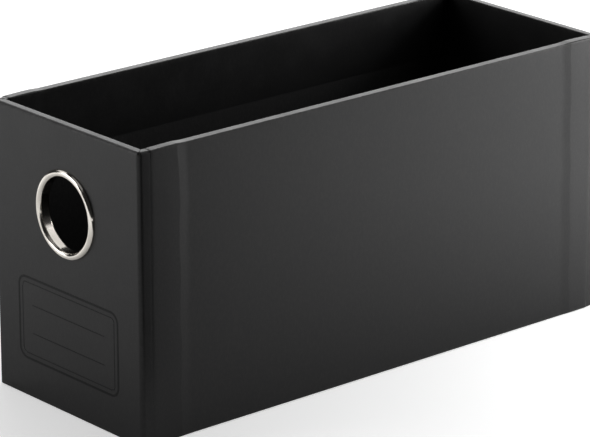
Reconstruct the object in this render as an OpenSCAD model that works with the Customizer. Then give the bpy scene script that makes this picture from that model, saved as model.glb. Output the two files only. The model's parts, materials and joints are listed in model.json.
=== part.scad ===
// Card storage drawer: a long open-topped rigid box of grey board, covered in black paper and
// lined inside, with a metal finger ring in its front wall.
// Frame: X across, Y from front (-Y) to rear (+Y), Z up. The origin is the centre of the base.

/* [Drawer] */
// Overall width, measured where the side covers lie over the corner flaps
drawer_w = 82; // [64:1:140]
// Overall length from front cover to rear cover, without the finger ring
drawer_l = 215; // [120:1:420]
// Overall height
drawer_h = 105; // [85:1:160]

/* [Sheet stock] */
// Thickness of the grey board in the walls and the base
board_t = 2.6; // [1.6:0.1:4]
// Thickness of the black covering paper
cover_t = 0.25; // [0.1:0.05:0.4]
// Thickness of the matt lining paper
lining_t = 0.2; // [0.1:0.05:0.4]
// Thickness of the corner stay tape, and of the glue line that it lies in
stay_t = 0.1; // [0.05:0.05:0.2]

/* [Covering] */
// Outer radius of the covering at the upright corners
corner_r = 1.5; // [1.2:0.1:2.6]
// How far the long walls are drawn in at the upright corners
corner_draw = 0.4; // [0:0.1:0.8]
// Distance from the front and rear boards' outer faces at which the drawing in starts
corner_reach = 7; // [6.5:0.5:10]
// Air gap along the rim, where the paper crowns over the upper edges of the boards
rim_gap = 0.5; // [0:0.1:1]
// Depth that the covers are turned in below the rim
turn_in = 23.5; // [12:0.5:40]
// Width that the covers are turned under the base
turn_under = 12; // [8:0.5:20]
// Length of the front cover's flaps along the long walls
front_flap = 16.5; // [13:0.5:24]
// Length of the rear cover's flaps along the long walls
rear_flap = 14.5; // [12:0.5:24]
// Length over which a side cover comes down off the end of a flap
flap_ramp = 5; // [1.5:0.5:6]
// Distance from a corner to the edge of the side cover
side_setback = 4.5; // [2:0.5:6]
// How far the side cover's cut end slants away from the corner across the rim
rim_slant = 3; // [1:0.5:5]
// How far the same cut slants on down the turned-in edge
turn_in_slant = 4; // [1:0.5:6]
// Width of the slits where two turned edges meet in a corner
mitre_gap = 0.4; // [0.2:0.1:0.8]
// Distance from the edge of the base to the edge of the base cover
base_margin = 2; // [1:0.5:5]
// Gap round the base infill
infill_gap = 0.5; // [0.2:0.1:2]
// Length of each leg of a corner stay
stay_leg = 14; // [8:0.5:24]

/* [Finger ring] */
// Bore of the finger ring
ring_bore_d = 26.5; // [18:0.5:32]
// Width of the rounded bead on the front, which stands out by half as much
ring_bead_w = 2.6; // [2:0.2:4]
// Thickness of the ring's metal
ring_metal_t = 0.5; // [0.3:0.05:0.8]
// Depth of the ring's centre below the rim
ring_drop = 32; // [24:0.5:44]
// Gap between the ring's barrel and the punched hole
ring_clear = 0.15; // [0.05:0.05:0.4]
// Inner radius of the bend in which the barrel turns out over the inner face of the wall
ring_bend_r = 1; // [0.6:0.1:1.6]
// Width of the flat flange outside that bend, which clamps the ring to the wall
ring_flange_w = 1; // [0.6:0.1:2]

/* [Hidden] */
$fn = 64;

// How far a cutting solid passes the face that it cuts
cut = 1;
// How far a slanting wall runs into the rounding that it ends in
weld = 0.02;

// Half sizes of the block that the outer faces of the wall boards make
board_x = drawer_w / 2 - 2 * cover_t - stay_t;
board_y = drawer_l / 2 - cover_t - stay_t;
board_r = corner_r - cover_t - stay_t;
// Rim of the end covers, and the lower and upper edges of the wall boards
end_rim = drawer_h - cover_t;
board_low = 2 * cover_t + stay_t;
board_top = end_rim - cover_t - stay_t - rim_gap;
floor_z = board_low + board_t;
// Inner faces of the boards, and of the linings on them
inside_x = board_x - board_t;
inside_y = board_y - board_t;
lined_x = inside_x - lining_t;
lined_y = inside_y - lining_t;
// Outer faces of the end covers and of their flaps
cover_x = board_x + stay_t + cover_t;
cover_y = board_y + stay_t + cover_t;
// Wall under one turned-in cover, from the outside to the inside
wall_t = 2 * cover_t + stay_t + board_t + lining_t;
// Lower edge of the covers' turned-in edges
turn_in_low = end_rim - turn_in;

// Finger ring
ring_z = drawer_h - ring_drop;
ring_bore_r = ring_bore_d / 2;
barrel_r = ring_bore_r + ring_metal_t;
hole_r = barrel_r + ring_clear;
// Inner face of the front wall, where the flange lies, and the middle of the bend before it
flange_y = -cover_y + wall_t;
bend_at = [barrel_r + ring_bend_r, flange_y - ring_bend_r];

// Colours as the photograph shows them
cover_black = [0.17, 0.17, 0.175];
lining_black = [0.07, 0.07, 0.07];
board_grey = [0.52, 0.5, 0.47];
stay_brown = [0.6, 0.47, 0.32];
nickel = [0.8, 0.78, 0.75];

// Place along a long wall where it starts to be drawn in, and the centre of the corner's rounding
draw_from = board_y - corner_reach;
corner_centre = [board_x - corner_draw - board_r, board_y - board_r];

// Both ends of the drawn-in stretch of the wall grown by some thickness: where it leaves the straight
// wall, and where it meets the rounding
function draw_start(grow) = [board_x + grow, draw_from];
function draw_end(grow) =
    let (
        reach = draw_start(grow) - corner_centre,
        r = board_r + grow,
        angle = atan2(reach.y, reach.x) + acos(r / norm(reach))
    )
    corner_centre + (r - weld) * [cos(angle), sin(angle)];

// Outline of the wall boards grown outwards by some thickness, with drawn-in, rounded corners
module wall_outline(grow) {
    for (sx = [0, 1], sy = [0, 1])
        mirror([sx, 0]) mirror([0, sy]) {
            polygon([
                [0, 0], [board_x + grow, 0], draw_start(grow), draw_end(grow), corner_centre,
                [corner_centre.x, board_y + grow], [0, board_y + grow]
            ]);
            translate(corner_centre) circle(board_r + grow);
        }
}

// A layer of the wall between two outlines
module wall_layer(from, to) {
    difference() {
        wall_outline(to);
        wall_outline(from);
    }
}

// A box from its lowest to its highest corner
module block(low, high) {
    translate(low) cube(high - low);
}

// The part of a plan that lies within a distance of the front
module near_front(reach) {
    intersection() {
        children();
        translate([-drawer_w, -cover_y - cut]) square([2 * drawer_w, reach + cut]);
    }
}

// The round hole that is punched through the front wall, its inner edge pressed back by the ring's bend
module punch() {
    translate([0, 0, ring_z]) rotate([-90, 0, 0]) {
        translate([0, 0, -drawer_l / 2 - cut]) cylinder(r = hole_r, h = drawer_l / 2);
        translate([0, 0, bend_at.y])
            cylinder(r1 = hole_r, r2 = hole_r + ring_bend_r + cut, h = ring_bend_r + cut);
    }
}

// Boards

module end_board() {
    translate([0, 0, board_low])
        linear_extrude(board_top - board_low)
            near_front(cover_y - inside_y) wall_outline(0);
}

module side_board() {
    translate([0, 0, board_low])
        linear_extrude(board_top - board_low)
            intersection() {
                wall_outline(0);
                translate([inside_x, -inside_y]) square([board_t + cut, 2 * inside_y]);
            }
}

module base_board() {
    color(board_grey)
        block([-inside_x, -inside_y, board_low], [inside_x, inside_y, floor_z]);
}

module front_board() {
    color(board_grey) difference() {
        end_board();
        punch();
    }
}

module rear_board() {
    color(board_grey) mirror([0, 1, 0]) end_board();
}

module right_board() {
    color(board_grey) side_board();
}

module left_board() {
    color(board_grey) mirror([1, 0, 0]) side_board();
}

// Linings

module end_lining() {
    block([-inside_x, -inside_y, floor_z], [inside_x, -lined_y, board_top]);
}

module side_lining() {
    block([lined_x, -lined_y, floor_z], [inside_x, lined_y, board_top]);
}

module front_lining() {
    color(lining_black) difference() {
        end_lining();
        punch();
    }
}

module rear_lining() {
    color(lining_black) mirror([0, 1, 0]) end_lining();
}

module right_lining() {
    color(lining_black) side_lining();
}

module left_lining() {
    color(lining_black) mirror([1, 0, 0]) side_lining();
}

module base_lining() {
    color(lining_black)
        block([-lined_x, -lined_y, floor_z], [lined_x, lined_y, floor_z + lining_t]);
}

// Corner stays: tape folded round the upright corners of the boards

module corner_stay(side, end) {
    color(stay_brown)
        translate([0, 0, board_low])
            linear_extrude(board_top - board_low)
                intersection() {
                    wall_layer(0, stay_t);
                    translate([side * board_x, end * board_y])
                        square(2 * stay_leg, center = true);
                }
}

// End covers: the sheet on the front or the rear wall, with its flaps and turned edges

module end_cover_wall(flap) {
    difference() {
        translate([0, 0, cover_t])
            linear_extrude(end_rim - cover_t)
                near_front(flap) wall_layer(stay_t, stay_t + cover_t);
        // the side covers are turned under below the flaps
        block([-drawer_w, -cover_y + side_setback - mitre_gap, -cut],
              [drawer_w, 0, 2 * cover_t]);
    }
}

module end_cover_turn_under() {
    translate([0, 0, cover_t])
        linear_extrude(cover_t)
            intersection() {
                wall_outline(stay_t + cover_t);
                polygon([
                    [-cover_x, -cover_y], [cover_x, -cover_y],
                    [cover_x - turn_under, -cover_y + turn_under],
                    [-cover_x + turn_under, -cover_y + turn_under]
                ]);
            }
}

// The layer on the rim, slit along the mitres of both corners
module end_cover_rim(flap) {
    slit_reach = sqrt(2) * wall_t + cut;
    translate([0, 0, end_rim - cover_t])
        linear_extrude(cover_t)
            difference() {
                near_front(flap) wall_outline(stay_t + cover_t);
                square([2 * (cover_x - wall_t), 2 * (cover_y - wall_t)], center = true);
                for (side = [-1, 1])
                    translate([side * cover_x, -cover_y])
                        rotate(side * 45)
                            square([mitre_gap, 2 * slit_reach], center = true);
            }
}

module end_cover_turn_in(flap) {
    end_reach = lined_x - cover_t - mitre_gap;
    block([-end_reach, -lined_y, turn_in_low], [end_reach, -lined_y + cover_t, end_rim]);
    for (side = [0, 1])
        mirror([side, 0, 0])
            block([lined_x - cover_t, -lined_y, turn_in_low],
                  [lined_x, -cover_y + flap, end_rim]);
}

module end_cover(flap) {
    end_cover_wall(flap);
    end_cover_turn_under();
    end_cover_rim(flap);
    end_cover_turn_in(flap);
}

module front_cover() {
    color(cover_black) difference() {
        end_cover(front_flap);
        punch();
    }
}

module rear_cover() {
    color(cover_black) mirror([0, 1, 0]) end_cover(rear_flap);
}

// Side covers: the sheet on a long wall, raised by the flaps under both of its ends

// Places along the wall where the sheet starts, leaves the front flap, meets the rear flap and ends
sheet_front = -cover_y + side_setback;
ramp_front = -cover_y + front_flap;
ramp_rear = cover_y - rear_flap;
sheet_rear = cover_y - side_setback;

// Slope at which the flaps under the sheet are drawn in towards the corners
flap_draw = draw_start(stay_t + cover_t) - draw_end(stay_t + cover_t);
draw_slope = -flap_draw.x / flap_draw.y;
// The same, as a depth at the sheet's edges
drawn_in = draw_slope * (sheet_rear - draw_from);

// Points that follow the wall at one level, stand out from it over the flaps and lean in at the ends
function over_flaps(level, out, slope, beyond) =
    let (end = level + out - slope * (sheet_rear + beyond - draw_from)) [
        [sheet_front - beyond, end], [-draw_from, level + out], [ramp_front, level + out],
        [ramp_front + flap_ramp, level], [ramp_rear - flap_ramp, level],
        [ramp_rear, level + out], [draw_from, level + out], [sheet_rear + beyond, end]
    ];

function swapped(points) = [for (p = points) [p[1], p[0]]];
function reversed(points) = [for (i = [len(points) - 1 : -1 : 0]) points[i]];

// The wall with its flaps and their tongues, grown by some thickness
module wrapped_wall(grow, beyond) {
    outer = over_flaps(board_x + stay_t + grow, cover_t, draw_slope, beyond);
    inner = over_flaps(lined_x - grow, -cover_t, 0, beyond);
    top = over_flaps(end_rim - cover_t + grow, cover_t, 0, beyond);
    low = cover_t - beyond;
    intersection() {
        linear_extrude(2 * drawer_h, center = true)
            polygon(concat(swapped(outer), swapped(reversed(inner))));
        rotate([90, 0, 90])
            linear_extrude(drawer_w)
                polygon(concat(
                    [[sheet_front - beyond, low]], top, [[sheet_rear + beyond, low]]));
    }
}

// Cuts away the corner at one end of the turned-in edge, along the slanting line
module slant_cut() {
    start = sheet_front;
    rim_end = start + rim_slant;
    translate([0, 0, board_top])
        linear_extrude(drawer_h)
            polygon([
                [cover_x - drawn_in, start - cut], [cover_x - drawn_in, start],
                [lined_x - 2 * cover_t, rim_end], [0, rim_end], [0, start - cut]
            ]);
    rotate([90, 0, 90])
        linear_extrude(lined_x + cut)
            polygon([
                [start - cut, drawer_h + cut], [rim_end, drawer_h + cut], [rim_end, drawer_h],
                [rim_end + turn_in_slant, turn_in_low - cut], [start - cut, turn_in_low - cut]
            ]);
}

module side_cover_turn_under() {
    edge = drawer_w / 2;
    mitre = side_setback - mitre_gap;
    reach = turn_under + mitre_gap;
    translate([0, 0, cover_t])
        linear_extrude(cover_t)
            intersection() {
                polygon([
                    [edge, sheet_front], [edge, sheet_rear], [edge - mitre, sheet_rear],
                    [edge - turn_under, cover_y - reach], [edge - turn_under, -cover_y + reach],
                    [edge - mitre, sheet_front]
                ]);
                polygon(concat(
                    swapped(over_flaps(cover_x, cover_t, draw_slope, 0)),
                    [[0, sheet_rear], [0, sheet_front]]));
            }
}

module side_cover() {
    difference() {
        wrapped_wall(cover_t, 0);
        wrapped_wall(0, cut);
        block([0, -drawer_l, -cut], [board_x, drawer_l, turn_in_low]);
        slant_cut();
        mirror([0, 1, 0]) slant_cut();
    }
    side_cover_turn_under();
}

module right_cover() {
    color(cover_black) side_cover();
}

module left_cover() {
    color(cover_black) mirror([1, 0, 0]) side_cover();
}

// Base

module base_infill() {
    half_w = drawer_w / 2 - turn_under - infill_gap;
    half_l = cover_y - turn_under - mitre_gap - infill_gap;
    color(board_grey)
        block([-half_w, -half_l, cover_t], [half_w, half_l, board_low]);
}

module base_cover() {
    half_w = drawer_w / 2 - base_margin;
    half_l = cover_y - base_margin;
    color(cover_black) block([-half_w, -half_l, 0], [half_w, half_l, cover_t]);
}

// Finger ring: turned about the Y axis, with its bead in front of the wall and its flange behind

module on_ring_axis() {
    translate([0, 0, ring_z]) rotate([-90, 0, 0]) rotate_extrude() children();
}

// Half of a round tube wall that starts at the bore and stands out from the front
module ring_bead() {
    middle = ring_bore_r + ring_bead_w / 2;
    intersection() {
        translate([middle, -cover_y]) difference() {
            circle(ring_bead_w / 2);
            circle(ring_bead_w / 2 - ring_metal_t);
        }
        translate([ring_bore_r - cut, -cover_y - ring_bead_w])
            square([ring_bead_w + 2 * cut, ring_bead_w]);
    }
}

// Quarter of a round tube wall, from the barrel to the flange
module ring_bend() {
    reach = ring_bend_r + ring_metal_t + cut;
    intersection() {
        translate(bend_at) difference() {
            circle(ring_bend_r + ring_metal_t);
            circle(ring_bend_r);
        }
        translate([bend_at.x - reach, bend_at.y]) square(reach);
    }
}

module finger_ring() {
    color(nickel) on_ring_axis() {
        ring_bead();
        translate([ring_bore_r, -cover_y]) square([ring_metal_t, bend_at.y + cover_y]);
        ring_bend();
        translate([bend_at.x, flange_y]) square([ring_flange_w, ring_metal_t]);
    }
}

base_board();
front_board();
rear_board();
left_board();
right_board();
front_lining();
rear_lining();
left_lining();
right_lining();
base_lining();
corner_stay(-1, -1);  // corner_stay_front_left
corner_stay(1, -1);  // corner_stay_front_right
corner_stay(-1, 1);  // corner_stay_rear_left
corner_stay(1, 1);  // corner_stay_rear_right
front_cover();
rear_cover();
left_cover();
right_cover();
base_infill();
base_cover();
finger_ring();
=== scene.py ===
import json
import math

import bmesh
import bpy
from mathutils import Matrix, Vector


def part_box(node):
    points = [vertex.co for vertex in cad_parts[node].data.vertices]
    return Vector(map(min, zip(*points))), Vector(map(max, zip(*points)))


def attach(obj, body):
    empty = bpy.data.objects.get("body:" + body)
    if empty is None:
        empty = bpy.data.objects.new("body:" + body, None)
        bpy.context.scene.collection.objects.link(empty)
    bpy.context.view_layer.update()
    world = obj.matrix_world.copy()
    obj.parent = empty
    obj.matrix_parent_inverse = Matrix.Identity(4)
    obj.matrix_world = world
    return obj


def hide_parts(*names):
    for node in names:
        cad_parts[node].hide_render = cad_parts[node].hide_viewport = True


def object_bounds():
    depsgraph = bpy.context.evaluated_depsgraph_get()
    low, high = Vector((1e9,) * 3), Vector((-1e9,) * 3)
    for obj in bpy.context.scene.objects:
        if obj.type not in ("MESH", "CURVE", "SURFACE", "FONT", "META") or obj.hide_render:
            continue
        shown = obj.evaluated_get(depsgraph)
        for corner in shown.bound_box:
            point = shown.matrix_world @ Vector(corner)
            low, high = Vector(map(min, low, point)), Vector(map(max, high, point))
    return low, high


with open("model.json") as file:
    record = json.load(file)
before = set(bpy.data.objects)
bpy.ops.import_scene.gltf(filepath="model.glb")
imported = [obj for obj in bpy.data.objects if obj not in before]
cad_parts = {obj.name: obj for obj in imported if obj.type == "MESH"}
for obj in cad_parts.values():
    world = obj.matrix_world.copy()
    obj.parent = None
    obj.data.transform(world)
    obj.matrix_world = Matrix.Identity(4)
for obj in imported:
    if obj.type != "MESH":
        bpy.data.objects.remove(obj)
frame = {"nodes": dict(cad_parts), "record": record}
cad_low, cad_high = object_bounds()


# Grey boards and base infill
# The carcass is five pieces of solid grey board, cut square and glued edge to edge, with a thin
# infill of the same stock pasted under the base. Paper covers all of it but a few cut edges.
board_nodes = ("base_board", "front_board", "rear_board", "left_board", "right_board", "base_infill")
board_pulp = (0.27, 0.25, 0.225, 1.0)
board_fleck = (0.15, 0.14, 0.13, 1.0)
board_roughness = (0.82, 0.95)
board_grain = 0.00008


def add(tree, kind, **settings):
    """Adds a node to a tree, with its settings."""
    node = tree.nodes.new(kind)
    for name, value in settings.items():
        setattr(node, name, value)
    return node


def feed(tree, source, target):
    """Links an output socket to an input socket."""
    tree.links.new(source, target)


def start_finish(name, **constants):
    """Starts a material and returns it with its tree and its shader, set to the given constants."""
    material = bpy.data.materials.new(name)
    material.use_nodes = True
    tree = material.node_tree
    tree.nodes.clear()
    shader = add(tree, "ShaderNodeBsdfPrincipled")
    for socket, value in constants.items():
        shader.inputs[socket.replace("_", " ")].default_value = value
    feed(tree, shader.outputs["BSDF"], add(tree, "ShaderNodeOutputMaterial").inputs["Surface"])
    return material, tree, shader


def start_group(name, inputs, outputs):
    """Starts a node group and returns it with its input and output nodes."""
    group = bpy.data.node_groups.new(name, "ShaderNodeTree")
    for label, kind in inputs:
        group.interface.new_socket(label, in_out="INPUT", socket_type="NodeSocket" + kind)
    for label, kind in outputs:
        group.interface.new_socket(label, in_out="OUTPUT", socket_type="NodeSocket" + kind)
    return group, add(group, "NodeGroupInput"), add(group, "NodeGroupOutput")


def use_group(tree, group, **values):
    """Places a node group in a material, with its own values."""
    node = add(tree, "ShaderNodeGroup", node_tree=group)
    for label, value in values.items():
        node.inputs[label.replace("_", " ")].default_value = value
    return node


def blend_colours(tree, share, first, second):
    """Mixes two colours, each a socket or a plain value, and returns the mixed colour's socket."""
    mix = add(tree, "ShaderNodeMix", data_type="RGBA")
    feed(tree, share, mix.inputs["Factor"])
    for socket, colour in ((mix.inputs[6], first), (mix.inputs[7], second)):
        if isinstance(colour, bpy.types.NodeSocket):
            feed(tree, colour, socket)
        else:
            socket.default_value = colour
    return mix.outputs[2]


def span(tree, value, from_low, from_high, to_low, to_high):
    """Stretches a range of values to another, clamped, and returns its socket."""
    stretch = add(tree, "ShaderNodeMapRange", clamp=True)
    feed(tree, value, stretch.inputs["Value"])
    for label, number in zip(("From Min", "From Max", "To Min", "To Max"),
                             (from_low, from_high, to_low, to_high)):
        stretch.inputs[label].default_value = number
    return stretch.outputs["Result"]


def raise_grain(tree, shader, height, depth, strength):
    """Feeds a height to the shader's normal as a bump of that depth in metres."""
    bump = add(tree, "ShaderNodeBump")
    bump.inputs["Distance"].default_value = depth
    bump.inputs["Strength"].default_value = strength
    feed(tree, height, bump.inputs["Height"])
    feed(tree, bump.outputs["Normal"], shader.inputs["Normal"])


# Pulp fibres: flecks of a second colour, the relief of the sheet and the soft clouds in it.
fibre_group, fibre_in, fibre_out = start_group(
    "paper_fibre",
    (("Pulp", "Color"), ("Fleck", "Color"), ("Fibres per metre", "Float"), ("Clouds per metre", "Float")),
    (("Colour", "Color"), ("Height", "Float"), ("Cloud", "Float")))
fibre_place = add(fibre_group, "ShaderNodeTexCoord")
fibre_lay = add(fibre_group, "ShaderNodeMapping")
fibre_lay.inputs["Scale"].default_value = (1.0, 0.8, 0.35)
fibre_noise = add(fibre_group, "ShaderNodeTexNoise")
fibre_noise.inputs["Detail"].default_value = 4.0
cloud_noise = add(fibre_group, "ShaderNodeTexNoise")
cloud_noise.inputs["Detail"].default_value = 5.0
cloud_noise.inputs["Roughness"].default_value = 0.6
feed(fibre_group, fibre_place.outputs["Object"], fibre_lay.inputs["Vector"])
feed(fibre_group, fibre_lay.outputs["Vector"], fibre_noise.inputs["Vector"])
feed(fibre_group, fibre_place.outputs["Object"], cloud_noise.inputs["Vector"])
feed(fibre_group, fibre_in.outputs["Fibres per metre"], fibre_noise.inputs["Scale"])
feed(fibre_group, fibre_in.outputs["Clouds per metre"], cloud_noise.inputs["Scale"])
fibre_share = span(fibre_group, fibre_noise.outputs["Fac"], 0.42, 0.72, 0.0, 1.0)
fibre_colour = blend_colours(
    fibre_group, fibre_share, fibre_in.outputs["Pulp"], fibre_in.outputs["Fleck"])
feed(fibre_group, fibre_colour, fibre_out.inputs["Colour"])
feed(fibre_group, fibre_noise.outputs["Fac"], fibre_out.inputs["Height"])
cloud_share = span(fibre_group, cloud_noise.outputs["Fac"], 0.3, 0.7, 0.0, 1.0)
feed(fibre_group, cloud_share, fibre_out.inputs["Cloud"])

board_finish, board_tree, board_shader = start_finish("grey_board", Specular_IOR_Level=0.2)
board_fibre = use_group(board_tree, fibre_group, Pulp=board_pulp, Fleck=board_fleck,
                        Fibres_per_metre=1400.0, Clouds_per_metre=90.0)
feed(board_tree, board_fibre.outputs["Colour"], board_shader.inputs["Base Color"])
feed(board_tree, span(board_tree, board_fibre.outputs["Cloud"], 0.0, 1.0, *board_roughness),
     board_shader.inputs["Roughness"])
raise_grain(board_tree, board_shader, board_fibre.outputs["Height"], board_grain, 0.5)


def give_finish(names, finish):
    """Gives CAD nodes that show as they are their finish."""
    for name in names:
        node = frame["nodes"][name]
        node.data.materials.clear()
        node.data.materials.append(finish)


give_finish(board_nodes, board_finish)


# Corner stays
# Strips of brown gummed paper tape, wetted and rubbed down round the carcass's four upright corners
# before it is covered. They hold the boards together and are hidden under the covers.
stay_nodes = tuple("corner_stay_" + corner for corner in
                   ("front_left", "front_right", "rear_left", "rear_right"))
stay_pulp = (0.33, 0.20, 0.095, 1.0)
stay_fleck = (0.24, 0.14, 0.065, 1.0)
stay_roughness = (0.5, 0.68)
stay_grain = 0.00004

stay_finish, stay_tree, stay_shader = start_finish("brown_tape", Specular_IOR_Level=0.35)
stay_fibre = use_group(stay_tree, fibre_group, Pulp=stay_pulp, Fleck=stay_fleck,
                       Fibres_per_metre=1900.0, Clouds_per_metre=140.0)
feed(stay_tree, stay_fibre.outputs["Colour"], stay_shader.inputs["Base Color"])
feed(stay_tree, span(stay_tree, stay_fibre.outputs["Cloud"], 0.0, 1.0, *stay_roughness),
     stay_shader.inputs["Roughness"])
raise_grain(stay_tree, stay_shader, stay_fibre.outputs["Height"], stay_grain, 0.4)
give_finish(stay_nodes, stay_finish)


# Linings
# The walls and the floor inside are lined with a matt black paper, cut a little short of the board
# and pasted flat before the covers are turned in over its top edge. Sliding cards polish and scuff it.
lining_nodes = ("front_lining", "rear_lining", "left_lining", "right_lining", "base_lining")
lining_black = (0.011, 0.011, 0.0114, 1.0)
lining_fleck = (0.019, 0.0187, 0.0184, 1.0)
lining_scuff = (0.032, 0.031, 0.030, 1.0)
lining_roughness = (0.62, 0.78)
lining_grain = 0.00005


def combine(tree, operation, first, second):
    """Joins two values by a sum or a product and returns the result's socket."""
    node = add(tree, "ShaderNodeMath", operation=operation)
    feed(tree, first, node.inputs[0])
    feed(tree, second, node.inputs[1])
    return node.outputs["Value"]


# Handling marks: broken, drawn-out rubs that follow the way the cards and fingers move.
marks_group, marks_in, marks_out = start_group(
    "handling_marks", (("Marks per metre", "Float"), ("Cover", "Float")), (("Mask", "Float"),))
marks_place = add(marks_group, "ShaderNodeTexCoord")
marks_lay = add(marks_group, "ShaderNodeMapping")
marks_lay.inputs["Rotation"].default_value = (0.25, 0.1, 0.35)
marks_lay.inputs["Scale"].default_value = (1.0, 1.0, 0.16)
marks_fine = add(marks_group, "ShaderNodeTexNoise")
marks_fine.inputs["Detail"].default_value = 6.0
marks_patch = add(marks_group, "ShaderNodeTexNoise")
marks_patch.inputs["Scale"].default_value = 38.0
marks_patch.inputs["Detail"].default_value = 2.0
feed(marks_group, marks_place.outputs["Object"], marks_lay.inputs["Vector"])
feed(marks_group, marks_lay.outputs["Vector"], marks_fine.inputs["Vector"])
feed(marks_group, marks_place.outputs["Object"], marks_patch.inputs["Vector"])
feed(marks_group, marks_in.outputs["Marks per metre"], marks_fine.inputs["Scale"])
marks_lines = span(marks_group, marks_fine.outputs["Fac"], 0.56, 0.72, 0.0, 1.0)
marks_where = span(marks_group, marks_patch.outputs["Fac"], 0.48, 0.66, 0.0, 1.0)
marks_both = combine(marks_group, "MULTIPLY", marks_lines, marks_where)
marks_share = combine(marks_group, "MULTIPLY", marks_both, marks_in.outputs["Cover"])
feed(marks_group, marks_share, marks_out.inputs["Mask"])

lining_finish, lining_tree, lining_shader = start_finish("matt_black_lining", Specular_IOR_Level=0.2)
lining_fibre = use_group(lining_tree, fibre_group, Pulp=lining_black, Fleck=lining_fleck,
                         Fibres_per_metre=1700.0, Clouds_per_metre=70.0)
lining_marks = use_group(lining_tree, marks_group, Marks_per_metre=420.0, Cover=0.6)
lining_colour = blend_colours(
    lining_tree, lining_marks.outputs["Mask"], lining_fibre.outputs["Colour"], lining_scuff)
feed(lining_tree, lining_colour, lining_shader.inputs["Base Color"])
feed(lining_tree, span(lining_tree, lining_fibre.outputs["Cloud"], 0.0, 1.0, *lining_roughness),
     lining_shader.inputs["Roughness"])
raise_grain(lining_tree, lining_shader, lining_fibre.outputs["Height"], lining_grain, 0.5)
give_finish(lining_nodes, lining_finish)


# Front and rear covers
# Each end of the carcass is wrapped in one sheet of satin black paper. It turns over the rim and down
# inside, turns under the base, and its flaps go round the corners on to the sides, all pasted down.
cover_black = (0.0098, 0.0098, 0.0102, 1.0)
cover_fleck = (0.0148, 0.0146, 0.0144, 1.0)
cover_rub = (0.034, 0.033, 0.032, 1.0)
cover_roughness = (0.33, 0.40)
cover_marks_roughness = 0.08
cover_grain = 0.00002
crease_rub_most = 0.8
corner_crease = 0.4
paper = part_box("base_cover")[1].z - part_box("base_cover")[0].z
end_low, end_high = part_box("front_cover")
rear_low, rear_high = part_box("rear_cover")
front_flap = end_high.y - end_low.y
rear_flap = rear_high.y - rear_low.y
face_y = end_low.y
half_w = end_high.x
sheet_low = end_low.z
end_rim = end_high.z
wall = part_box("front_lining")[1].y + paper - face_y
corner_r = 0.0015
flat_half = half_w - corner_r
fold_r = 0.0003
rim_r = 0.0011
fold_steps = 6
corner_steps = 10
cell = 0.0025
turn_in = 0.0235
turn_under = 0.012
inner_fold_line = 0.002
hem_fold_line = 0.003
slit = 0.00024
tiny = 1e-6
UP = Vector((0, 0, 1))
DOWN = Vector((0, 0, -1))

# The hole that is punched for the finger ring.
ring_mount = next(mount for mount in frame["record"]["mounts"] if mount["name"] == "finger_hole")
ring_low, ring_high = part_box("finger_ring")
ring_z = (ring_low.z + ring_high.z) / 2
ring_bore = ring_mount["dims"]["r_mm"] / 1000
metal = 0.0005
ring_slip = 0.00015
bend_r = 0.001
hole_r = ring_bore + metal + ring_slip

# The flaps: the paste draws them in at the corners, and their cut edges waver and slant a little.
flap_shown = 0.0045
flap_stations = (0.0026, 0.0035, flap_shown, 0.0058)
pinch = 0.0004
flap_waver = 0.00022
long_waver = 230.0
long_waver_start = 0.7
short_waver = 517.0
short_waver_share = 0.6
front_waver_start = 2.1
rear_waver_start = 3.1
front_slant = 0.0006
front_slant_drop = 0.011
rear_slant = 0.0187
rear_slant_mid = 0.0444

cover_finish, cover_tree, cover_shader = start_finish("satin_black_paper", Specular_IOR_Level=0.25)
cover_fibre = use_group(cover_tree, fibre_group, Pulp=cover_black, Fleck=cover_fleck,
                        Fibres_per_metre=2100.0, Clouds_per_metre=85.0)
cover_marks = use_group(cover_tree, marks_group, Marks_per_metre=520.0, Cover=0.5)
crease = add(cover_tree, "ShaderNodeAttribute", attribute_name="crease")
crease_place = add(cover_tree, "ShaderNodeTexCoord")
crease_noise = add(cover_tree, "ShaderNodeTexNoise")
crease_noise.inputs["Scale"].default_value = 640.0
crease_noise.inputs["Detail"].default_value = 5.0
feed(cover_tree, crease_place.outputs["Object"], crease_noise.inputs["Vector"])
crease_worn = span(cover_tree, crease.outputs["Fac"], 0.25, 1.0, 0.0, 1.0)
crease_broken = span(cover_tree, crease_noise.outputs["Fac"], 0.42, 0.66, 0.0, crease_rub_most)
crease_rub = combine(cover_tree, "MULTIPLY", crease_worn, crease_broken)
cover_colour = blend_colours(cover_tree, crease_rub, cover_fibre.outputs["Colour"], cover_rub)
feed(cover_tree, cover_colour, cover_shader.inputs["Base Color"])
cover_clouds = span(cover_tree, cover_fibre.outputs["Cloud"], 0.0, 1.0, *cover_roughness)
cover_dulled = span(cover_tree, cover_marks.outputs["Mask"], 0.0, 1.0, 0.0, cover_marks_roughness)
feed(cover_tree, combine(cover_tree, "ADD", cover_clouds, cover_dulled), cover_shader.inputs["Roughness"])
raise_grain(cover_tree, cover_shader, cover_fibre.outputs["Height"], cover_grain, 0.35)


def drawn_out(bm, edges):
    """Extrudes a sheet's free edge where it is and returns the new edges and points."""
    new = bmesh.ops.extrude_edge_only(bm, edges=edges)["geom"]
    new_edges = [part for part in new if isinstance(part, bmesh.types.BMEdge)]
    return new_edges, [part for part in new if isinstance(part, bmesh.types.BMVert)]


def roll_edge(bm, edges, onward, across, trim, radius=fold_r):
    """Rolls a free edge through a right angle, from the way it runs to the way it turns."""
    worn = bm.verts.layers.float["crease"]
    for point in {point for edge in edges for point in edge.verts}:
        point[worn] = max(point[worn], 0.5)
    for step in range(fold_steps):
        begin = math.pi / 2 * step / fold_steps
        end = math.pi / 2 * (step + 1) / fold_steps
        ahead = radius * (math.sin(end) - math.sin(begin))
        aside = radius * (math.cos(begin) - math.cos(end))
        edges, points = drawn_out(bm, edges)
        for point in points:
            point.co = trim(point.co + onward(point.co) * ahead + across(point.co) * aside)
            point[worn] = 1.0
    return edges


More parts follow.
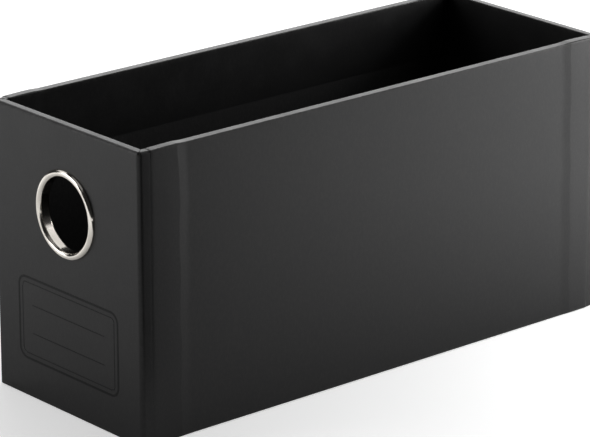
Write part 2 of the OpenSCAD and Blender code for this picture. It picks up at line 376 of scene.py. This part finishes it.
def lay_edge(bm, edges, where, trim):
    """Draws a free edge out flat to the place that where gives for each of its points."""
    worn = bm.verts.layers.float["crease"]
    edges, points = drawn_out(bm, edges)
    for point in points:
        point.co = trim(where(point.co))
        point[worn] = 0.0
    return edges


def as_laid(co):
    """Leaves a point where it is."""
    return co


def heading(way):
    """A rule that gives every point the same way."""
    return lambda co: way


def set_across(x):
    """A rule that moves a point across the drawer to a place."""
    return lambda co: Vector((x, co.y, co.z))


def set_along(y):
    """A rule that moves a point along the drawer to a place."""
    return lambda co: Vector((co.x, y, co.z))


def set_height(z):
    """A rule that moves a point up or down to a height."""
    return lambda co: Vector((co.x, co.y, z))


def free_edges(bm, height):
    """The free edges of a sheet that lie at a height."""
    return [edge for edge in bm.edges if edge.is_boundary
            and all(abs(point.co.z - height) < tiny for point in edge.verts)]


def finish_sheet(bm, place, way):
    """Closes a sheet's seams and turns its faces so that the one nearest to a place faces a way."""
    bmesh.ops.remove_doubles(bm, verts=bm.verts, dist=2 * tiny)
    bmesh.ops.dissolve_degenerate(bm, edges=bm.edges, dist=tiny)
    bmesh.ops.recalc_face_normals(bm, faces=bm.faces)
    nearest = min(bm.faces, key=lambda face: (face.calc_center_median() - place).length)
    if nearest.normal.dot(way) < 0:
        bmesh.ops.reverse_faces(bm, faces=bm.faces)


def place_piece(name, bm, finish, node, thickness, pressed=False):
    """Makes a bmesh into a piece that stands for a CAD node, thinner where its edges are pressed."""
    mesh = bpy.data.meshes.new(name)
    bm.to_mesh(mesh)
    bm.free()
    mesh.materials.append(finish)
    mesh.shade_smooth()
    piece = bpy.data.objects.new(name, mesh)
    bpy.context.scene.collection.objects.link(piece)
    body = piece.modifiers.new("thickness", "SOLIDIFY")
    body.thickness = thickness
    body.offset = -1.0
    body.use_even_offset = False
    if pressed:
        body.vertex_group = piece.vertex_groups.new(name="sheet").name
    soft = piece.modifiers.new("fold_shading", "WEIGHTED_NORMAL")
    soft.keep_sharp = True
    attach(piece, "root")
    if node:
        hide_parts(node)


def corner_drawn_in(depth):
    """How far the paste draws the cover in at the side, by the depth behind the end's face."""
    return pinch * max(0.0, 1.0 - max(0.0, depth) / flap_shown)


def flap_strays(height, front):
    """How far the cut edge of a flap strays from its mean depth at a height."""
    start = front_waver_start if front else rear_waver_start
    short = short_waver_share * math.sin(height * short_waver + start)
    waver = math.sin(height * long_waver + long_waver_start) + short
    if front:
        top = max(0.0, 1.0 - (end_rim - height) / front_slant_drop)
        return flap_waver * waver - front_slant * top
    return rear_slant * (height - rear_slant_mid) - flap_waver * waver


def towards_inside(co):
    """The level way from a point of an end cover's outer face to the inside of the drawer."""
    side = math.copysign(1.0, co.x)
    if abs(co.x) <= flat_half:
        return Vector((0, 1, 0))
    turn = Vector((side * flat_half, face_y + corner_r, co.z))
    if co.y >= turn.y:
        return Vector((-side, 0, 0))
    return (turn - co).normalized()


def mitre_end(co):
    """Keeps the end's own margin on its side of the mitre."""
    reach = half_w - (co.y - face_y) - slit / 2
    return Vector((max(-reach, min(reach, co.x)), co.y, co.z))


def mitre_flap(co):
    """Keeps a flap's margin on its side of the mitre."""
    return Vector((co.x, max(co.y, face_y + half_w - abs(co.x) + slit / 2), co.z))


def flat_end(foot, head):
    """Starts an end's sheet with the flat part between its folds."""
    bm = bmesh.new()
    bm.verts.layers.float.new("crease")
    columns = 2 * round(flat_half / cell)
    rows = round((head - foot) / cell)
    bmesh.ops.create_grid(bm, x_segments=columns, y_segments=rows, size=1.0)
    bmesh.ops.scale(bm, verts=bm.verts, vec=(flat_half, (head - foot) / 2, 1))
    bmesh.ops.rotate(bm, verts=bm.verts, matrix=Matrix.Rotation(math.pi / 2, 3, "X"))
    bmesh.ops.translate(bm, verts=bm.verts, vec=(0, face_y, (foot + head) / 2))
    return bm


def punch_hole(bm):
    """Cuts the round hole for the finger ring out of the front's sheet."""
    centre = Vector((0, face_y, ring_z))
    cut = [face for face in bm.faces
           if max(abs(x) for x in face.calc_center_median() - centre) < hole_r + cell]
    around = {edge for face in cut for edge in face.edges
              if any(other not in cut for other in edge.link_faces)}
    bmesh.ops.delete(bm, geom=cut, context="FACES")
    around = [edge for edge in bm.edges if edge in around]
    lay_edge(bm, around, lambda co: centre + (co - centre).normalized() * hole_r, as_laid)


def wrap_corners(bm, flap, front):
    """Turns an end's sheet round both corners and lays its flaps along the sides."""
    worn = bm.verts.layers.float["crease"]

    def cut_edge(co):
        return Vector((co.x, face_y + flap + flap_strays(co.z, front), co.z))

    for side in (1, -1):
        edges = [edge for edge in bm.edges
                 if all(abs(point.co.x - side * flat_half) < tiny for point in edge.verts)]
        points = {point for edge in edges for point in edge.verts}
        turned = bmesh.ops.spin(
            bm, geom=list(points) + edges, cent=(side * flat_half, face_y + corner_r, 0), axis=(0, 0, 1),
            angle=side * math.pi / 2, steps=corner_steps)["geom_last"]
        edges = [part for part in turned if isinstance(part, bmesh.types.BMEdge)]
        for depth in flap_stations:
            edges = lay_edge(bm, edges, set_along(face_y + depth), as_laid)
        lay_edge(bm, edges, cut_edge, as_laid)
    for point in bm.verts:
        if abs(point.co.x) > flat_half + tiny and point.co.y - face_y < corner_r - tiny:
            point[worn] = corner_crease


def edge_middle(edge):
    """The point halfway along an edge."""
    return (edge.verts[0].co + edge.verts[1].co) / 2


def split_by_mitre(bm, height):
    """The free edges of an end's sheet at a height, its own and those of its flaps."""
    edges = free_edges(bm, height)
    own = [edge for edge in edges if edge_middle(edge).y - face_y < half_w - abs(edge_middle(edge).x)]
    return own, [edge for edge in edges if edge not in own]


def turn_margin_in(bm, edges, to_inner, inward, trim):
    """Turns a margin over the rim and down the inside of the wall, and returns its cut edge."""
    edges = roll_edge(bm, edges, heading(UP), towards_inside, trim, rim_r)
    edges = lay_edge(bm, edges, to_inner, trim)
    edges = roll_edge(bm, edges, heading(inward), heading(DOWN), trim)
    for drop in (inner_fold_line, turn_in - fold_r):
        edges = lay_edge(bm, edges, set_height(end_rim - fold_r - drop), trim)
    return edges


def clear_ring(edges):
    """Cuts the front's turned-in margin back to an arch over the bend of the finger ring."""
    for point in {point for edge in edges for point in edge.verts}:
        over = (hole_r + bend_r) ** 2 - point.co.x ** 2
        if over > 0:
            point.co.z = max(point.co.z, ring_z + math.sqrt(over))


def end_cover(flap, front):
    """The sheet on one end of the drawer, as it lies on the front end."""
    foot = sheet_low + fold_r
    head = end_rim - rim_r
    bm = flat_end(foot, head)
    if front:
        punch_hole(bm)
    wrap_corners(bm, flap, front)
    margin, flap_margins = split_by_mitre(bm, head)
    margin = turn_margin_in(bm, margin, set_along(face_y + wall - fold_r), Vector((0, 1, 0)), mitre_end)
    if front:
        clear_ring(margin)
    for side in (1, -1):
        edges = [edge for edge in flap_margins if edge_middle(edge).x * side > 0]
        inner = side * (half_w - wall)
        turn_margin_in(bm, edges, set_across(inner + side * fold_r), Vector((-side, 0, 0)), mitre_flap)
    hem, flap_hems = split_by_mitre(bm, foot)
    hem = roll_edge(bm, hem, heading(DOWN), towards_inside, mitre_end)
    for reach in (hem_fold_line, turn_under):
        hem = lay_edge(bm, hem, set_along(face_y + reach), mitre_end)
    lay_edge(bm, flap_hems, set_height(sheet_low + paper), as_laid)
    for point in bm.verts:
        if abs(point.co.x) > flat_half - wall:
            point.co.x -= math.copysign(corner_drawn_in(point.co.y - face_y), point.co.x)
    finish_sheet(bm, Vector((half_w / 2, face_y, ring_z / 3)), Vector((0, -1, 0)))
    return bm


place_piece("front_cover_sheet", end_cover(front_flap, True), cover_finish, "front_cover", paper)
rear_mesh = end_cover(rear_flap, False)
bmesh.ops.rotate(rear_mesh, verts=rear_mesh.verts, matrix=Matrix.Rotation(math.pi, 3, "Z"))
place_piece("rear_cover_sheet", rear_mesh, cover_finish, "rear_cover", paper)


# Side covers
# Each side gets a sheet of the same paper, pasted on last. It laps over the flaps of the end covers, so
# their edges show through as soft ridges, and it too turns in over the rim and under the base.
side_low, side_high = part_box("right_cover")
side_face = side_high.x - paper
side_rim = side_high.z - paper
side_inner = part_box("right_lining")[0].x - paper
side_end = side_high.y
side_rim_r = 0.0004
side_rows = 36
side_columns = 24
front_lap = end_high.y
rear_lap = rear_low.y
ramp = 0.005
ramp_even = 0.55
ramp_steps = (0.06, 0.14, 0.27, 0.41, 0.55, 0.65, 0.76, 0.88, 1.0)
edge_stations = (0.0048, 0.0052, 0.0057, 0.0063, 0.0071, 0.0083, 0.0102, 0.0125)
rim_slant = 0.003
turn_in_slant = 0.004
fold_line_share = 0.1
edge_share = 0.04
curl_share = 0.3
edge_curl = 0.0016
edge_taper = 0.009


def over_flaps(along):
    """How far the sheet stands off the board where it lies over the flaps of the end covers."""
    front = (along - front_lap) / ramp
    rear = (rear_lap - along) / ramp
    nearest = min(max(0.0, front), max(0.0, rear), 1.0)
    if nearest < ramp_even:
        return paper * (1.0 - nearest * 2.0 / (1.0 + ramp_even))
    return paper * (1.0 - nearest) ** 2 / (1.0 - ramp_even ** 2)


def pressed_share(point):
    """How much of its thickness the sheet keeps, less and less towards its pressed upright edges."""
    if point.is_boundary:
        return edge_share
    inside = side_end - abs(point.co.y)
    curl = 1.0 - (1.0 - min(1.0, inside / edge_curl)) ** 2
    return edge_share + curl_share * curl + (1.0 - edge_share - curl_share) * min(1.0, inside / edge_taper)


def slanted(edges, amount):
    """A rule that moves only the two ends of a free edge towards the middle of the sheet."""
    ends = [point.co.y for edge in edges for point in edge.verts]
    first, last = min(ends), max(ends)

    def rule(co):
        if abs(co.y - first) < tiny:
            return Vector((co.x, co.y + amount, co.z))
        if abs(co.y - last) < tiny:
            return Vector((co.x, co.y - amount, co.z))
        return co
    return rule


def side_stations():
    """The places along a side where its sheet has points, close together by the edges and the ridges."""
    drawn_in = [face_y + depth for depth in edge_stations]
    front_ramp = [front_lap] + [front_lap + ramp * step for step in ramp_steps]
    rear_ramp = [rear_lap - ramp * step for step in reversed(ramp_steps)] + [rear_lap]
    between = rear_lap - front_lap - 2 * ramp
    middle = [front_lap + ramp + between * step / side_columns for step in range(1, side_columns)]
    return drawn_in + front_ramp + middle + rear_ramp + [-along for along in reversed(drawn_in)] + [side_end]


def settle_sheet(bm):
    """Presses a side's sheet thin at its edges and lays it over the flaps and into the corners."""
    sheet = bm.verts.layers.deform.verify()
    moves = {}
    for point in bm.verts:
        point[sheet][0] = pressed_share(point)
        move = point.normal * (over_flaps(point.co.y) - paper * (1.0 - point[sheet][0]))
        if point.co.z < side_rim / 2:
            move.z = 0.0
        if point.co.x > (side_face + side_inner) / 2:
            move.x -= corner_drawn_in(side_end + flap_shown - abs(point.co.y))
        if front_lap - tiny < point.co.y < front_lap + ramp + tiny:
            move.y += flap_strays(point.co.z, True)
        if rear_lap - ramp - tiny < point.co.y < rear_lap + tiny:
            move.y -= flap_strays(point.co.z, False)
        moves[point] = move
    for point, move in moves.items():
        point.co += move


def side_cover():
    """The sheet on one side of the drawer, as it lies on the right."""
    bm = bmesh.new()
    bm.verts.layers.float.new("crease")
    foot = side_low.z + fold_r
    head = side_rim - side_rim_r
    start = [bm.verts.new((side_face, -side_end, z)) for z in (foot, head)]
    first = bm.edges.new(start)
    bmesh.ops.subdivide_edges(bm, edges=[first], cuts=side_rows - 1)
    edges = list(bm.edges)
    for along in side_stations():
        edges = lay_edge(bm, edges, set_along(along), as_laid)
    rim = free_edges(bm, head)
    hem = free_edges(bm, foot)
    inward = heading(Vector((-1, 0, 0)))
    rim = roll_edge(bm, rim, heading(UP), inward, as_laid, side_rim_r)
    rim = lay_edge(bm, rim, set_across(side_inner + fold_r), slanted(rim, rim_slant))
    rim = roll_edge(bm, rim, inward, heading(DOWN), as_laid)
    for height, share in ((side_rim - fold_r - inner_fold_line, fold_line_share),
                          (side_rim - turn_in, 1.0 - fold_line_share)):
        rim = lay_edge(bm, rim, set_height(height), slanted(rim, turn_in_slant * share))
    hem = roll_edge(bm, hem, heading(DOWN), inward, as_laid)
    hem = lay_edge(bm, hem, set_across(side_face - hem_fold_line), slanted(hem, hem_fold_line))
    lay_edge(bm, hem, set_across(side_face - turn_under), slanted(hem, turn_under - hem_fold_line))
    finish_sheet(bm, Vector((side_face, 0, (foot + head) / 2)), Vector((1, 0, 0)))
    bm.normal_update()
    settle_sheet(bm)
    return bm


place_piece("right_cover_sheet", side_cover(), cover_finish, "right_cover", paper, True)
left_mesh = side_cover()
bmesh.ops.scale(left_mesh, verts=left_mesh.verts, vec=(-1, 1, 1))
bmesh.ops.reverse_faces(left_mesh, faces=left_mesh.faces)
place_piece("left_cover_sheet", left_mesh, cover_finish, "left_cover", paper, True)


# Base cover
# A last sheet of the black paper is pasted under the base. It stops just short of the edges and hides
# the turned-under margins of the four wall covers.
give_finish(("base_cover",), cover_finish)


# Finger ring
# The hole for the finger is bushed with a ring stamped from thin sheet metal and nickel plated: a bead
# in front, a short barrel through the wall and a flange turned out over the lining to clamp it.
bead_r = (ring_high.x - ring_low.x) / 2
bead_half = (bead_r - ring_bore) / 2
ring_front = ring_low.y
ring_back = ring_high.y
flange_flat = 0.001
flange_r = ring_bore + metal + bend_r + flange_flat
ring_turns = 128
ring_round = 10
ring_weld = 1e-7
nickel = (0.72, 0.685, 0.63, 1.0)
nickel_dull = (0.60, 0.565, 0.515, 1.0)
nickel_roughness = (0.10, 0.19)
nickel_marks_roughness = 0.16
nickel_grain = 0.00002

nickel_finish, nickel_tree, nickel_shader = start_finish("nickel_plate", Metallic=1.0)
nickel_marks = use_group(nickel_tree, marks_group, Marks_per_metre=1500.0, Cover=0.8)
nickel_place = add(nickel_tree, "ShaderNodeTexCoord")
nickel_cloud = add(nickel_tree, "ShaderNodeTexNoise")
nickel_cloud.inputs["Scale"].default_value = 190.0
nickel_cloud.inputs["Detail"].default_value = 4.0
feed(nickel_tree, nickel_place.outputs["Object"], nickel_cloud.inputs["Vector"])
nickel_dulled = span(nickel_tree, nickel_cloud.outputs["Fac"], 0.35, 0.75, 0.0, 1.0)
feed(nickel_tree, blend_colours(nickel_tree, nickel_dulled, nickel, nickel_dull),
     nickel_shader.inputs["Base Color"])
nickel_clouds = span(nickel_tree, nickel_cloud.outputs["Fac"], 0.3, 0.7, *nickel_roughness)
nickel_scuffs = span(nickel_tree, nickel_marks.outputs["Mask"], 0.0, 1.0, 0.0, nickel_marks_roughness)
feed(nickel_tree, combine(nickel_tree, "ADD", nickel_clouds, nickel_scuffs),
     nickel_shader.inputs["Roughness"])
raise_grain(nickel_tree, nickel_shader, nickel_cloud.outputs["Fac"], nickel_grain, 0.2)

ring_outline = ((bead_r, face_y), (bead_r, ring_front), (ring_bore, ring_front),
                (ring_bore, ring_back), (flange_r, ring_back))
ring_mesh = bmesh.new()
ring_line = [ring_mesh.verts.new((radius, depth, ring_z)) for radius, depth in ring_outline]
for pair in zip(ring_line, ring_line[1:]):
    ring_mesh.edges.new(pair)
for corners, radius in ((ring_line[1:3], bead_half), (ring_line[3:4], bend_r + metal)):
    bmesh.ops.bevel(ring_mesh, geom=corners, offset=radius, offset_type="OFFSET", segments=ring_round,
                    profile=0.5, affect="VERTICES", material=-1)
bmesh.ops.remove_doubles(ring_mesh, verts=ring_mesh.verts, dist=ring_weld)
bmesh.ops.spin(ring_mesh, geom=list(ring_mesh.verts) + list(ring_mesh.edges), cent=(0, 0, ring_z),
               axis=(0, 1, 0), angle=2 * math.pi, steps=ring_turns, use_merge=True)
bmesh.ops.remove_doubles(ring_mesh, verts=ring_mesh.verts, dist=ring_weld)
bmesh.ops.recalc_face_normals(ring_mesh, faces=ring_mesh.faces)
front_most = min(ring_mesh.faces, key=lambda face: face.calc_center_median().y)
if front_most.normal.y > 0:
    bmesh.ops.reverse_faces(ring_mesh, faces=ring_mesh.faces)
place_piece("finger_ring_bush", ring_mesh, nickel_finish, "finger_ring", metal)


# Label frame
# A plain frame for a contents label is printed low on the front in a darker, smoother black: two
# fine outlines with rounded corners and ruled lines to write on, no thicker than the ink.
label_w = 0.056
label_h = 0.031
label_z = 0.0295
label_corner = 0.0042
label_corner_steps = 8
label_line = 0.0009
label_gap = 0.0013
label_inner_line = 0.0004
label_rule_share = 0.72
label_rule_steps = 12
label_rule_z = 0.0052
ink = 0.00003
ink_black = (0.0055, 0.0055, 0.0058, 1.0)
ink_fleck = (0.0085, 0.0085, 0.0085, 1.0)
ink_roughness = (0.30, 0.40)

ink_finish, ink_tree, ink_shader = start_finish("gloss_black_ink", Specular_IOR_Level=0.12)
ink_fibre = use_group(ink_tree, fibre_group, Pulp=ink_black, Fleck=ink_fleck,
                      Fibres_per_metre=2100.0, Clouds_per_metre=120.0)
feed(ink_tree, ink_fibre.outputs["Colour"], ink_shader.inputs["Base Color"])
feed(ink_tree, span(ink_tree, ink_fibre.outputs["Cloud"], 0.0, 1.0, *ink_roughness),
     ink_shader.inputs["Roughness"])

label_mesh = bmesh.new()
bmesh.ops.create_grid(label_mesh, x_segments=1, y_segments=1, size=0.5)
bmesh.ops.scale(label_mesh, verts=label_mesh.verts, vec=(label_w, label_h, 1))
bmesh.ops.bevel(label_mesh, geom=list(label_mesh.verts), offset=label_corner, offset_type="OFFSET",
                segments=label_corner_steps, profile=0.5, affect="VERTICES", material=-1)
printed = []
for width, inked in ((label_line, True), (label_gap, False), (label_inner_line, True)):
    panel = max(label_mesh.faces, key=lambda face: len(face.verts))
    border = bmesh.ops.inset_individual(
        label_mesh, faces=[panel], thickness=width, use_even_offset=True)["faces"]
    if inked:
        printed += border
bare = [face for face in label_mesh.faces if face not in printed]
bmesh.ops.delete(label_mesh, geom=bare, context="FACES")
for rule_z in (-label_rule_z, label_rule_z):
    ruled = bmesh.ops.create_grid(label_mesh, x_segments=label_rule_steps, y_segments=1, size=0.5)["verts"]
    bmesh.ops.scale(label_mesh, verts=ruled, vec=(label_w * label_rule_share, label_inner_line, 1))
    bmesh.ops.translate(label_mesh, verts=ruled, vec=(0, rule_z, 0))
bmesh.ops.rotate(label_mesh, verts=label_mesh.verts, matrix=Matrix.Rotation(math.pi / 2, 3, "X"))
bmesh.ops.translate(label_mesh, verts=label_mesh.verts, vec=(0, face_y - ink, label_z))
bmesh.ops.recalc_face_normals(label_mesh, faces=label_mesh.faces)
for face in label_mesh.faces:
    if face.normal.y > 0:
        face.normal_flip()
place_piece("label_frame_print", label_mesh, ink_finish, None, ink)


# Studio
# A white table, whitest away from the drawer, its glow painted lower next to the drawer as shade round its
# foot; soft lamps on the left, high up, behind and low by the right rear corner; and a black card, seen only
# in reflections, that paints shade on the long side.
table_half = 6.0
table_white = (0.93, 0.93, 0.93, 1.0)
# The glow is lowest next to the drawer and rises to the far glow within a set reach. This is painted shade
# round the drawer's foot, darker in reflections than to the camera.
table_near_glow = 0.08
table_near_seen = 0.42
table_far_glow = 0.62
table_painted_shade_reach = 0.32
white = (1.0, 1.0, 1.0, 1.0)
world_strength = 0.02
card_w = 0.75
card_l = 0.55
card_lift = 0.001
card_turn = math.radians(40)
card_corner = (0.088, -0.076, 0)
card_painted_shade_black = (0.01, 0.01, 0.01, 1.0)


def set_stage(name, bm, finish):
    """Makes a bmesh into a thing of the studio that is no part of the drawer."""
    data = bpy.data.meshes.new(name)
    bm.to_mesh(data)
    bm.free()
    data.materials.append(finish)
    thing = bpy.data.objects.new(name, data)
    bpy.context.scene.collection.objects.link(thing)
    return thing


table_finish, table_tree, table_shader = start_finish("white_table", Roughness=0.9, Specular_IOR_Level=0.0)
table_shader.inputs["Base Color"].default_value = table_white
table_shader.inputs["Emission Color"].default_value = white
table_rays = add(table_tree, "ShaderNodeLightPath")
table_place = add(table_tree, "ShaderNodeTexCoord")
table_way = table_place.outputs["Object"]
for operation, value in (("ABSOLUTE", None), ("SUBTRACT", (cad_high.x, cad_high.y, 0)),
                         ("MAXIMUM", (0, 0, 0))):
    step = add(table_tree, "ShaderNodeVectorMath", operation=operation)
    feed(table_tree, table_way, step.inputs[0])
    if value:
        step.inputs[1].default_value = value
    table_way = step.outputs["Vector"]
table_away = add(table_tree, "ShaderNodeVectorMath", operation="LENGTH")
feed(table_tree, table_way, table_away.inputs[0])
table_glow = None
# Each kind of ray sees the glow rise from its near level by the drawer to the far level; the dip is painted
# shade.
for ray, near in (("Is Camera Ray", table_near_seen), ("Is Glossy Ray", table_near_glow),
                  ("Is Transmission Ray", table_near_glow)):
    share = add(table_tree, "ShaderNodeMath", operation="MULTIPLY_ADD")
    feed(table_tree, table_rays.outputs[ray], share.inputs[0])
    feed(table_tree, span(table_tree, table_away.outputs["Value"], 0.0, table_painted_shade_reach, near, table_far_glow),
         share.inputs[1])
    share.inputs[2].default_value = 0.0
    if table_glow:
        feed(table_tree, table_glow, share.inputs[2])
    table_glow = share.outputs["Value"]
feed(table_tree, table_glow, table_shader.inputs["Emission Strength"])
table_mesh = bmesh.new()
bmesh.ops.create_grid(table_mesh, x_segments=1, y_segments=1, size=table_half)
set_stage("table_top", table_mesh, table_finish)

# A black card that casts no shadow and that the camera doesn't see. It only paints shade into the
# reflections on the long side.
card_finish, card_tree, card_shader = start_finish("reflection_shade_card", Roughness=0.9, Specular_IOR_Level=0.0)
card_shader.inputs["Base Color"].default_value = card_painted_shade_black
card_mesh = bmesh.new()
bmesh.ops.create_grid(card_mesh, x_segments=1, y_segments=1, size=0.5)
bmesh.ops.scale(card_mesh, verts=card_mesh.verts, vec=(card_w, card_l, 1))
bmesh.ops.translate(card_mesh, verts=card_mesh.verts, vec=(card_w / 2, -card_l / 2, card_lift))
bmesh.ops.rotate(card_mesh, verts=card_mesh.verts, matrix=Matrix.Rotation(card_turn, 3, "Z"))
bmesh.ops.translate(card_mesh, verts=card_mesh.verts, vec=card_corner)
reflection_shade_card = set_stage("reflection_shade_card", card_mesh, card_finish)
reflection_shade_card.visible_camera = False
reflection_shade_card.visible_diffuse = False
reflection_shade_card.visible_shadow = False
reflection_shade_card.visible_transmission = False

world = bpy.data.worlds.new("studio")
world.use_nodes = True
world.node_tree.nodes["Background"].inputs["Color"].default_value = white
world.node_tree.nodes["Background"].inputs["Strength"].default_value = world_strength
bpy.context.scene.world = world

# Soft rectangular lamps of an even brightness. Each faces a point, and the camera doesn't see it.
for name, place, target, width, height, radiance in (
        ("rim_softbox", (-1.0, 0.86, 0.45), (0, 0, 0.1), 0.9, 0.5, 2.95),
        ("front_softbox", (-0.45, -0.70, 0.35), (-0.02, -0.107, 0.06), 0.5, 0.5, 3.05),
        ("left_high_softbox", (-0.95, -0.05, 0.85), (0, -0.05, 0.1), 1.2, 0.5, 1.2),
        ("rear_high_softbox", (0.0, 0.92, 1.1), (0, 0, 0.08), 1.9, 0.8, 1.1),
        ("right_softbox", (0.9, 0.9, 0.6), (0, 0, 0.05), 1.0, 0.9, 0.9),
        ("right_rear_softbox", (0.15, 0.26, 0.16), (0.11, 0.17, 0.0), 0.10, 0.10, 14.6),
        ("right_rear_low_softbox", (0.19, 0.30, 0.09), (0.08, 0.13, 0.01), 0.14, 0.12, 7.2),
        ("overhead_softbox", (0.0, -0.45, 1.4), (0, -0.45, 0), 1.0, 1.9, 0.25)):
    lamp = bpy.data.lights.new(name, "AREA")
    lamp.shape = "RECTANGLE"
    lamp.size = width
    lamp.size_y = height
    lamp.energy = radiance * math.pi * width * height
    softbox = bpy.data.objects.new(name, lamp)
    softbox.location = place
    softbox.rotation_euler = (Vector(target) - Vector(place)).to_track_quat("-Z", "Y").to_euler()
    softbox.visible_camera = False
    bpy.context.scene.collection.objects.link(softbox)

# The camera stands where the photograph's did, fitted to the edges of the drawer.
camera_place = (0.9538, -0.8270, 0.4801)
azimuth = math.radians(49.24)
elevation = math.radians(18.909)
camera_data = bpy.data.cameras.new("camera")
camera_data.lens = 226.82
camera_data.sensor_width = 36.0
camera_data.clip_start = 0.05
camera_data.clip_end = 30.0
camera = bpy.data.objects.new("camera", camera_data)
ahead = Vector((-math.sin(azimuth) * math.cos(elevation), math.cos(azimuth) * math.cos(elevation),
                -math.sin(elevation)))
camera.location = camera_place
camera.rotation_euler = ahead.to_track_quat("-Z", "Y").to_euler()
bpy.context.scene.collection.objects.link(camera)
bpy.context.scene.camera = camera
bpy.context.scene.view_settings.view_transform = "Standard"
